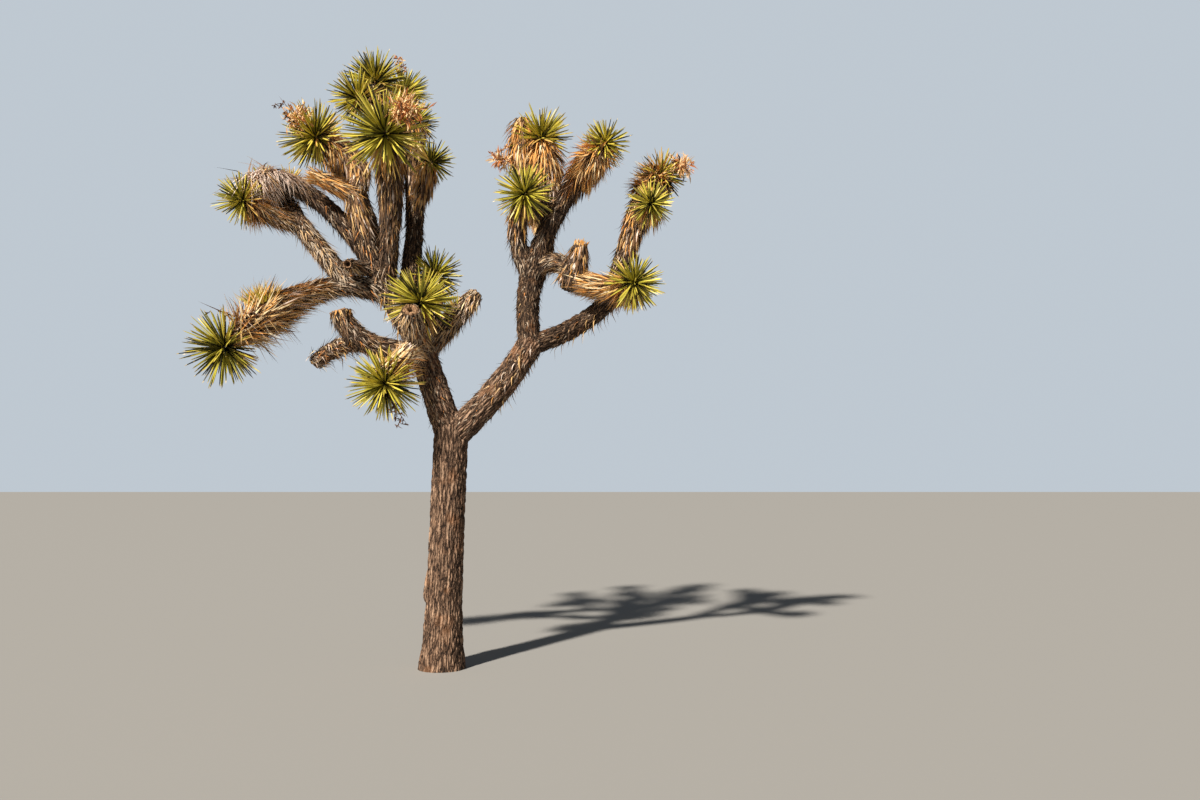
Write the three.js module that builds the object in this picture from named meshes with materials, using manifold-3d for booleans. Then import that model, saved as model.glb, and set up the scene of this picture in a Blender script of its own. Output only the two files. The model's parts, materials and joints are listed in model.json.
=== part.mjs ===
// A Joshua tree (a tree yucca of the high desert), rooted in level ground.
// A short thick trunk forks at head height into two boughs. They fork again and again into
// limbs of even thickness that are wrapped in a thatch of dead leaves, and each living limb
// ends in one round head of stiff dagger leaves. Limbs with no head are broken stubs.
// Millimetres, +Z up, origin in the middle of the flat cut under the trunk, +X to the
// viewer's right and +Y away from the viewer.
import * as THREE from 'three';
import { mergeVertices } from 'three/addons/utils/BufferGeometryUtils.js';
import Module from 'manifold-3d';

const wasm = await Module();
wasm.setup();

// Driving dimensions of the limbs.
const clearance = 0.3;
const forkHeight = 2160;
const footRadius = 215;
const flareHeight = 300;
const trunkRadius = 156;
const boughRadius = 116;
const armRadius = 68;
const neckRadius = 58;
const limbSides = 8;
const limbRings = 4;

// Driving dimensions of the leaves and of the dried flower stalks.
const leafCount = 26;
const leafHalfWidth = 30;
const leafHalfThickness = 10;
const widestShare = 0.3;
const coreShare = 0.5;
const headRise = 60;
const shortestLeaf = 0.55;
const spaceMargin = 18;
const podRadius = 16;
const stalkRadius = 10;

const goldenAngle = Math.PI * (3 - Math.sqrt(5));

// Each limb leaves its parent at a share of the parent's length and runs to its tip. Its middle
// stands off the straight line by the bow. Its radius goes from one end's to the other's. The
// skirt is where the dead leaves begin, as a share of the length, and how thick they lie. A fused
// limb is a short stub that is one solid with its parent.
const limbs = {
  trunk: { tip: [55, 0, forkHeight], bow: [-5, 0, 0], radii: [trunkRadius, trunkRadius], sides: 16, rings: 8 },

  // The left bough and what grows from it.
  left_bough: {
    from: 'trunk', at: 0.95, tip: [-245, 30, 2920], bow: [-20, 5, 35],
    radii: [138, boughRadius], sides: 12,
  },
  west_bough: {
    from: 'left_bough', at: 0.96, tip: [-655, 0, 3615], bow: [5, 5, -35],
    radii: [boughRadius, 98], sides: 12,
  },
  far_left_limb: {
    from: 'west_bough', at: 0.67, tip: [-1885, -280, 2855], bow: [25, 35, 290],
    radii: [102, 76], skirt: [0.45, 84], rings: 7,
  },
  hollow_stub: {
    from: 'west_bough', at: 0.96, tip: [-840, -340, 3570], bow: [-50, 60, 20],
    radii: [66, 52], stub: true, fused: true,
  },
  pale_limb: {
    from: 'far_left_limb', at: 0.29, tip: [-1370, -120, 4035], bow: [-10, -15, 5],
    radii: [96, 82],
  },
  left_arm: {
    from: 'pale_limb', at: 0.93, tip: [-1760, -300, 4150], bow: [-15, 10, -20],
    radii: [80, neckRadius], skirt: [0.2, 26],
  },
  up_arm: {
    from: 'pale_limb', at: 0.96, tip: [-1910, 500, 4545], bow: [50, 30, 0],
    radii: [72, neckRadius], skirt: [0.3, 26],
  },
  dark_limb: {
    from: 'west_bough', at: 0.97, tip: [-1810, -150, 4325], bow: [-60, 45, 340],
    radii: [92, 66], skirt: [0.5, 50], rings: 8, stub: true,
  },
  mid_limb: {
    from: 'west_bough', at: 0.97, tip: [-865, -150, 4305], bow: [-20, -5, 30],
    radii: [94, 84],
  },
  orange_stub: {
    from: 'mid_limb', at: 0.92, tip: [-1180, -300, 4385], bow: [0, -10, 5],
    radii: [88, 44], fused: true,
  },
  mid_arm: {
    from: 'mid_limb', at: 0.94, tip: [-1250, 100, 4890], bow: [185, 15, 10],
    radii: [84, neckRadius], skirt: [0.2, 36],
  },
  rear_upper_limb: {
    from: 'west_bough', at: 0.97, tip: [-1420, 750, 5090], bow: [110, 5, 40],
    radii: [84, neckRadius], skirt: [0.5, 30], rings: 6,
  },
  front_limb: {
    from: 'west_bough', at: 0.81, tip: [-480, -500, 4660], bow: [30, 45, 90],
    radii: [92, armRadius], skirt: [0.4, 36], rings: 6,
  },
  back_limb: {
    from: 'west_bough', at: 0.44, tip: [-570, 500, 5475], bow: [120, 20, 20],
    radii: [98, neckRadius], skirt: [0.45, 30], rings: 8, sides: 10,
  },
  back_arm: {
    from: 'back_limb', at: 0.66, tip: [-440, 350, 5130], bow: [55, -55, 0],
    radii: [62, 52], skirt: [0.3, 26],
  },
  side_arm: {
    from: 'back_limb', at: 0.48, tip: [-230, 100, 4650], bow: [40, -65, -35],
    radii: [64, 52], skirt: [0.3, 30],
  },
  top_limb: {
    from: 'front_limb', at: 0.39, tip: [-745, 150, 5430], bow: [-20, 50, 50],
    radii: [74, neckRadius], skirt: [0.5, 26], rings: 6,
  },
  top_arm: { from: 'top_limb', at: 0.7, tip: [-805, -100, 5170], bow: [5, -20, -10], radii: [58, 52] },
  inner_limb: {
    from: 'left_bough', at: 0.98, tip: [-185, -300, 3200], bow: [10, -65, -35],
    radii: [76, neckRadius], skirt: [0.3, 24],
  },
  inner_arm: {
    from: 'left_bough', at: 0.98, tip: [-175, 200, 3545], bow: [20, 35, 25],
    radii: [76, neckRadius], skirt: [0.4, 30],
  },
  front_stub: {
    from: 'left_bough', at: 0.91, tip: [-225, -550, 3125], bow: [-15, -70, 10],
    radii: [110, 80], stub: true,
  },
  left_stub: {
    from: 'left_bough', at: 0.88, tip: [-920, -250, 3175], bow: [-135, -40, -95],
    radii: [95, 94], rings: 6,
  },
  lower_stub: {
    from: 'left_stub', at: 0.43, tip: [-1230, 50, 2720], bow: [-30, 40, 85],
    radii: [80, 68], fused: true,
  },
  right_stub: {
    from: 'left_bough', at: 0.88, tip: [245, 200, 3420], bow: [10, 5, 15],
    radii: [106, 74], stub: true,
  },
  drooping_arm: {
    from: 'left_bough', at: 0.88, tip: [-430, -450, 2515], bow: [35, -70, 120],
    radii: [84, neckRadius], skirt: [0.25, 36],
  },
  rear_left_limb: {
    from: 'left_bough', at: 0.98, tip: [-380, 850, 3530], bow: [60, -40, -65],
    radii: [84, neckRadius], skirt: [0.5, 30],
  },

  // The right bough and what grows from it.
  right_bough: {
    from: 'trunk', at: 0.95, tip: [775, -50, 2915], bow: [70, -5, 10],
    radii: [136, boughRadius], sides: 12,
  },
  inner_bough: {
    from: 'right_bough', at: 0.98, tip: [800, -20, 3645], bow: [-40, 5, 10],
    radii: [104, 110], sides: 12,
  },
  left_prong: {
    from: 'inner_bough', at: 0.86, tip: [715, -220, 4215], bow: [-98, 70, -15],
    radii: [88, armRadius], skirt: [0.6, 30],
  },
  right_prong: {
    from: 'inner_bough', at: 0.93, tip: [1430, -200, 4690], bow: [-102, 60, -15],
    radii: [94, 76], skirt: [0.66, 60], rings: 6,
  },
  crest_limb: {
    from: 'right_prong', at: 0.5, tip: [845, 100, 4855], bow: [5, 5, -50],
    radii: [84, neckRadius], skirt: [0.3, 56],
  },
  dry_limb: {
    from: 'right_prong', at: 0.44, tip: [660, 120, 5095], bow: [-85, 80, -100],
    radii: [68, 56], skirt: [0.35, 64], rings: 6,
  },
  perch_limb: {
    from: 'inner_bough', at: 0.9, tip: [1165, -120, 3455], bow: [50, 10, 140],
    radii: [78, 84],
  },
  perch_stub: {
    from: 'perch_limb', at: 0.95, tip: [1230, -160, 3800], bow: [0, -15, -10],
    radii: [142, 58], fused: true,
  },
  perch_arm: {
    from: 'perch_limb', at: 0.95, tip: [1680, -330, 3390], bow: [15, 0, -50],
    radii: [92, neckRadius], skirt: [0.1, 30],
  },
  outer_bough: {
    from: 'right_bough', at: 0.96, tip: [1550, 80, 3415], bow: [85, 15, -40],
    radii: [94, 84], rings: 6,
  },
  outer_limb: {
    from: 'outer_bough', at: 0.97, tip: [1965, 180, 4590], bow: [-55, 20, -25],
    radii: [94, 66], skirt: [0.4, 46], rings: 6,
  },
  outer_arm: {
    from: 'outer_limb', at: 0.66, tip: [1860, -130, 4165], bow: [15, -45, -30],
    radii: [60, 52], skirt: [0.2, 20],
  },
  rear_outer_limb: {
    from: 'outer_bough', at: 0.8, tip: [1735, 750, 3570], bow: [25, -5, 50],
    radii: [74, 56], skirt: [0.5, 30],
  },
  rear_right_limb: {
    from: 'inner_bough', at: 0.66, tip: [700, 850, 4560], bow: [145, -60, -25],
    radii: [84, neckRadius], skirt: [0.5, 30], rings: 6,
  },
};

// Each head of leaves sits on the tip of one limb, faces one way and reaches so far from its middle.
const heads = {
  far_left_head: { on: 'far_left_limb', face: [-0.72, -0.35, -0.55], reach: 390 },
  left_head: { on: 'left_arm', face: [-0.85, -0.4, 0.2], reach: 270 },
  left_back_head: { on: 'up_arm', face: [-0.5, 0.5, 0.6], reach: 220 },
  upper_left_head: { on: 'mid_arm', face: [-0.75, -0.6, 0.1], reach: 370 },
  rear_upper_head: { on: 'rear_upper_limb', face: [-0.4, 0.75, 0.5], reach: 280 },
  front_head: { on: 'front_limb', face: [0, -0.8, 0.55], reach: 450 },
  side_head: { on: 'side_arm', face: [0.85, -0.1, 0.1], reach: 250 },
  back_right_head: { on: 'back_arm', face: [0.8, 0.1, 0.45], reach: 260 },
  back_top_head: { on: 'back_limb', face: [0.3, 0.35, 0.85], reach: 300 },
  top_head: { on: 'top_limb', face: [-0.05, 0.1, 0.95], reach: 335 },
  top_left_head: { on: 'top_arm', face: [-0.8, -0.1, 0.55], reach: 300 },
  inner_front_head: { on: 'inner_limb', face: [0, -0.75, 0.6], reach: 375 },
  inner_back_head: { on: 'inner_arm', face: [0.3, -0.1, 0.9], reach: 300 },
  drooping_head: { on: 'drooping_arm', face: [-0.45, -0.6, -0.6], reach: 365 },
  rear_left_head: { on: 'rear_left_limb', face: [-0.2, 0.8, 0.5], reach: 280 },
  prong_head: { on: 'left_prong', face: [0.2, -0.85, 0.4], reach: 315 },
  right_prong_head: { on: 'right_prong', face: [0.55, -0.5, 0.65], reach: 255 },
  crest_head: { on: 'crest_limb', face: [0, 0, 1], reach: 330 },
  perch_head: { on: 'perch_arm', face: [0.5, -0.85, 0.1], reach: 295 },
  outer_head: { on: 'outer_limb', face: [0.55, -0.35, -0.75], reach: 275 },
  outer_front_head: { on: 'outer_arm', face: [0.15, -0.95, 0.15], reach: 245 },
  rear_outer_head: { on: 'rear_outer_limb', face: [0.1, 0.9, 0.35], reach: 265 },
  rear_right_head: { on: 'rear_right_limb', face: [-0.1, 0.8, 0.55], reach: 270 },
};

// Dried flower stalks, each fused to the head or limb that it grew from, with where each one ends.
const flowerStalks = [
  { on: 'far_left_head', tip: [-2140, -320, 3170] },
  { on: 'upper_left_head', tip: [-1690, 50, 5260] },
  { on: 'front_head', tip: [-265, -800, 4905] },
  { on: 'back_top_head', tip: [-615, 500, 5910] },
  { on: 'drooping_head', tip: [-270, -550, 2090] },
  { on: 'outer_head', tip: [2320, 100, 4705] },
  { on: 'dry_limb', tip: [350, 50, 4650] },
];

// Small tufts of leaves that sprout from the side of a limb and are fused to it.
const tufts = [
  { on: 'far_left_limb', at: 0.8, face: [-0.15, -0.1, 1], reach: 340, leaves: 7 },
  { on: 'dark_limb', at: 0.66, face: [0.1, 0.1, 1], reach: 210, leaves: 4 },
  { on: 'right_stub', at: 0.6, face: [-0.2, 0.4, 1], reach: 230, leaves: 6 },
];

const colours = {
  bark: { color: 0x6e5a49, roughness: 0.95, metalness: 0 },
  thatched: { color: 0xa8814f, roughness: 0.9, metalness: 0 },
  leaf: { color: 0x9c9a3c, roughness: 0.6, metalness: 0 },
};

const vector = (point) => new THREE.Vector3(...point);

// A number from 0 to 1 that is always the same for the same seed.
function chance(seed) {
  const wave = Math.sin(seed * 12.9898) * 43758.5453;
  return wave - Math.floor(wave);
}

// A closed three.js geometry as a solid that can be cut and joined.
function solidOf(geometry) {
  const bare = geometry.clone();
  bare.deleteAttribute('normal');
  bare.deleteAttribute('uv');
  const merged = mergeVertices(bare, 1e-3);
  return new wasm.Manifold(new wasm.Mesh({
    numProp: 3,
    vertProperties: merged.attributes.position.array,
    triVerts: new Uint32Array(merged.index.array),
  }));
}

// The largest piece of a solid, without the scraps that a cut leaves loose.
function largestPiece(solid) {
  const pieces = solid.decompose();
  return pieces.reduce((best, piece) => (piece.volume() > best.volume() ? piece : best));
}

function boxOf(solid) {
  const { min, max } = solid.boundingBox();
  return new THREE.Box3(vector(min), vector(max));
}

// A solid that later pieces are kept clear of, with its box for a quick first look.
const obstacle = (solid) => ({ solid, box: boxOf(solid) });

function cutClear(solid, obstacles) {
  const box = boxOf(solid);
  const near = obstacles.filter((other) => other.box.intersectsBox(box));
  return near.reduce((left, other) => left.subtract(other.solid), solid);
}

function touches(solid, obstacles) {
  const box = boxOf(solid);
  return obstacles.some((other) => {
    if (!other.box.intersectsBox(box)) return false;
    const shared = solid.intersect(other.solid);
    const overlaps = !shared.isEmpty();
    shared.delete();
    return overlaps;
  });
}

function meshOf(name, solid, place, colour) {
  const { vertProperties, triVerts } = solid.getMesh();
  const geometry = new THREE.BufferGeometry();
  geometry.setAttribute('position', new THREE.BufferAttribute(vertProperties, 3));
  geometry.setIndex(new THREE.BufferAttribute(triVerts, 1));
  geometry.translate(-place.x, -place.y, -place.z);
  geometry.computeVertexNormals();
  const mesh = new THREE.Mesh(geometry, new THREE.MeshStandardMaterial(colours[colour]));
  mesh.name = name;
  mesh.position.copy(place);
  return mesh;
}

// The line that a limb follows: from its parent's line to its own tip, bowed in the middle.
const lines = {};
function lineOf(name) {
  if (!lines[name]) {
    const limb = limbs[name];
    const start = limb.from ? lineOf(limb.from).getPoint(limb.at) : new THREE.Vector3();
    const tip = vector(limb.tip);
    const middle = start.clone().add(tip).multiplyScalar(0.5).addScaledVector(vector(limb.bow), 2);
    lines[name] = new THREE.QuadraticBezierCurve3(start, middle, tip);
  }
  return lines[name];
}

// A limb's radius at a share of its length, with the trunk's root flare, the blunt end of a
// stub and the thickness of the thatch.
function radiusOf(limb, share) {
  const [first, last] = limb.radii;
  const radius = first + (last - first) * (limb.stub ? share ** 2.5 : share);
  if (!limb.from) return radius + (footRadius - first) * Math.exp((-share * forkHeight) / flareHeight);
  if (!limb.skirt) return radius;
  const [from, thatch] = limb.skirt;
  const grown = THREE.MathUtils.smoothstep(share, from, from + 0.35);
  const drawnIn = THREE.MathUtils.smoothstep(share, 0.84, 1);
  return radius + thatch * grown * (1 - drawnIn);
}

// A limb as a tapering tube round its line. Above the trunk it starts with a rounded knuckle
// inside its parent. It ends flat. The tube is grown all round by the given amount.
function limbSolid(name, grow = 0) {
  const limb = limbs[name];
  const line = lineOf(name);
  const rings = limb.rings ?? limbRings;
  const sides = limb.sides ?? limbSides;
  const knuckle = limb.from ? [55] : [];
  const steps = rings + knuckle.length;
  const frames = line.computeFrenetFrames(rings);
  const start = line.getPoint(0);
  const geometry = new THREE.CylinderGeometry(1, 1, steps, sides, steps);
  const position = geometry.attributes.position;
  for (let i = 0; i < position.count; i++) {
    const step = Math.round(position.getY(i) + steps / 2) - knuckle.length;
    const share = Math.max(step, 0) / rings;
    const frame = Math.max(step, 0);
    const centre = line.getPoint(share);
    let radius = radiusOf(limb, share) + grow;
    if (step < 0) {
      const slope = THREE.MathUtils.degToRad(knuckle[step + knuckle.length]);
      centre.copy(start).addScaledVector(frames.tangents[0], -radius * Math.sin(slope));
      radius *= Math.cos(slope);
    } else if (step === rings) centre.addScaledVector(frames.tangents[rings], grow);
    centre.addScaledVector(frames.binormals[frame], position.getX(i) * radius);
    centre.addScaledVector(frames.normals[frame], position.getZ(i) * radius);
    if (!limb.from) centre.z = Math.max(centre.z, 0);
    position.setXYZ(i, centre.x, centre.y, centre.z);
  }
  return solidOf(geometry);
}

// Turns a solid that stands on +Y to face a direction, and moves it to a place.
function placed(geometry, place, direction) {
  const turn = new THREE.Quaternion().setFromUnitVectors(new THREE.Vector3(0, 1, 0), direction);
  geometry.applyQuaternion(turn);
  geometry.translate(place.x, place.y, place.z);
  return solidOf(geometry);
}

// A dagger leaf: a three-sided spindle, flat above and keeled below, that is widest at a third
// of its length.
function leafSolid(root, direction, length, width = leafHalfWidth, thickness = leafHalfThickness) {
  const profile = [new THREE.Vector2(0, 0), new THREE.Vector2(1, widestShare), new THREE.Vector2(0, 1)];
  const spindle = new THREE.LatheGeometry(profile, 3);
  spindle.scale(width, length, thickness);
  return placed(spindle, root, direction);
}

// A dried flower stalk: a thin spindle with rings of seed pods round its outer half.
function flowerStalkSolid(start, tip) {
  const along = vector(tip).sub(start);
  const length = along.length();
  along.normalize();
  const side = new THREE.Vector3(0, 0, 1).cross(along).normalize();
  const pieces = [leafSolid(start, along, length, stalkRadius, stalkRadius)];
  const pods = 5;
  for (let i = 0; i < pods; i++) {
    const share = 0.45 + (0.45 * i) / pods;
    const out = side.clone().applyAxisAngle(along, i * goldenAngle);
    const root = start.clone().addScaledVector(along, share * length);
    out.addScaledVector(along, 0.5).normalize();
    pieces.push(leafSolid(root, out, 4 * podRadius, podRadius, podRadius));
  }
  return wasm.Manifold.union(pieces);
}

// The middle of a head, which its leaves spread round.
function headMiddle({ on, face }) {
  return vector(limbs[on].tip).addScaledVector(vector(face).normalize(), headRise);
}

// How far a leaf can run before it leaves the space of its head, halfway to each other head.
function roomFor(name, root, direction) {
  const own = headMiddle(heads[name]);
  let room = Infinity;
  for (const [other, head] of Object.entries(heads)) {
    if (other === name) continue;
    const across = headMiddle(head).sub(own);
    const share = heads[name].reach / (heads[name].reach + head.reach);
    const border = share * across.length() - spaceMargin;
    across.normalize();
    const speed = direction.dot(across);
    if (speed > 0) room = Math.min(room, (border - root.clone().sub(own).dot(across)) / speed);
  }
  return room;
}

// The directions of a head's leaves: a spiral from its pole to well behind its widest circle.
function leafDirection(face, index, count, widest) {
  const share = (index + 0.5) / count;
  const polar = Math.acos(1 - share * (1 - Math.cos(widest)));
  const side = new THREE.Vector3(0.3, 0.5, 0.8).cross(face).normalize();
  side.applyAxisAngle(face, index * goldenAngle);
  return face.clone().multiplyScalar(Math.cos(polar)).addScaledVector(side, Math.sin(polar)).normalize();
}

// A head: a ball of leaf bases over the limb's tip with the leaves that stand out of it. A leaf
// that would leave the head's space or touch a limb is skipped.
function headSolid(name, keptClear) {
  const head = heads[name];
  const face = vector(head.face).normalize();
  const middle = headMiddle(head);
  const core = placed(new THREE.IcosahedronGeometry(coreShare * head.reach), middle, face);
  const pieces = [cutClear(core, keptClear)];
  for (let i = 0; i < leafCount; i++) {
    const direction = leafDirection(face, i, leafCount, THREE.MathUtils.degToRad(124));
    const wanted = head.reach * (0.92 + 0.12 * chance(i + head.reach));
    const length = Math.min(wanted, roomFor(name, middle, direction));
    if (length < shortestLeaf * wanted) continue;
    const leaf = leafSolid(middle, direction, length);
    if (!touches(leaf, keptClear)) pieces.push(leaf);
  }
  for (const { tip } of flowerStalks.filter(({ on }) => on === name)) {
    pieces.push(cutClear(flowerStalkSolid(middle, tip), keptClear));
  }
  return largestPiece(wasm.Manifold.union(pieces));
}

// A limb with the tufts and dried stalks that are fused to it.
function dressedLimb(name, solid) {
  const pieces = [solid];
  for (const tuft of tufts.filter(({ on }) => on === name)) {
    const face = vector(tuft.face).normalize();
    const root = lineOf(name).getPoint(tuft.at);
    for (let i = 0; i < tuft.leaves; i++) {
      const direction = leafDirection(face, i, tuft.leaves, THREE.MathUtils.degToRad(42));
      pieces.push(leafSolid(root, direction, tuft.reach));
    }
  }
  for (const { tip } of flowerStalks.filter(({ on }) => on === name)) {
    pieces.push(flowerStalkSolid(lineOf(name).getPoint(0.8), tip));
  }
  return pieces.length > 1 ? largestPiece(wasm.Manifold.union(pieces)) : solid;
}

// A limb with the stubs that are fused to it, grown all round by the given amount.
function branchSolid(name, grow) {
  const stubs = Object.keys(limbs).filter((other) => limbs[other].fused && limbs[other].from === name);
  return wasm.Manifold.union([name, ...stubs].map((member) => limbSolid(member, grow)));
}

// Each limb is cut clear of those before it, so that they meet face to face.
function buildTree() {
  const tree = new THREE.Group();
  const keptClear = [];
  const grow = clearance / Math.cos(Math.PI / limbSides);
  for (const name of Object.keys(limbs).filter((limb) => !limbs[limb].fused)) {
    const solid = largestPiece(cutClear(branchSolid(name, 0), keptClear));
    const dressed = dressedLimb(name, solid);
    keptClear.push(obstacle(branchSolid(name, grow)));
    if (dressed !== solid) keptClear.push(obstacle(dressed));
    const colour = limbs[name].skirt ? 'thatched' : 'bark';
    tree.add(meshOf(name, dressed, lineOf(name).getPoint(0), colour));
  }
  for (const name of Object.keys(heads)) {
    tree.add(meshOf(name, headSolid(name, keptClear), vector(limbs[heads[name].on].tip), 'leaf'));
  }
  return tree;
}

export default buildTree();
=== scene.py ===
# A Joshua tree: a tree yucca, rooted where it stands. A short thick trunk forks into boughs clad
# in cork and in the dry leaves of past years, and each living limb ends in one round head of
# stiff dagger leaves.
import json
import math
from collections import namedtuple

import bpy
import numpy as np
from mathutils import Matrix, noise

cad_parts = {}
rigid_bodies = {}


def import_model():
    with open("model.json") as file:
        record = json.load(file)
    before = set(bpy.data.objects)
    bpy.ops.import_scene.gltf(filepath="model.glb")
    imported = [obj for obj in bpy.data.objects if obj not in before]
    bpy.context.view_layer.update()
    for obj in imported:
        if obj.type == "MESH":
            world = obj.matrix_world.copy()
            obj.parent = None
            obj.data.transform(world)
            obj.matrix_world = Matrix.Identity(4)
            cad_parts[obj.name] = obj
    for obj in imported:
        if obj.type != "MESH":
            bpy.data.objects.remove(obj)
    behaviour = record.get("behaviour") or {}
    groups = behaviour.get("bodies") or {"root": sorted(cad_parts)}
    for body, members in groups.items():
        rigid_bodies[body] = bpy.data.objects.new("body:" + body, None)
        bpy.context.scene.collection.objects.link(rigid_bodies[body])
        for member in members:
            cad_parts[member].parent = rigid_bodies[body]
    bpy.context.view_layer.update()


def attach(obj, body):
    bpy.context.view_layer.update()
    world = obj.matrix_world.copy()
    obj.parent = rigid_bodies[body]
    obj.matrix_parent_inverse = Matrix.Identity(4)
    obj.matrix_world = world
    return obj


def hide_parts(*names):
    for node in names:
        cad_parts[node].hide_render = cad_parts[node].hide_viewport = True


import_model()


# The trunk with the two main boughs: soft fibrous wood under thick corky bark, which the growth
# of the trunk has torn into long upright plates. Each limb grew out of the one it stands on.
FORK_HEIGHT, FOOT_RADIUS, FLARE_HEIGHT = 2.16, 0.215, 0.3

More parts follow.
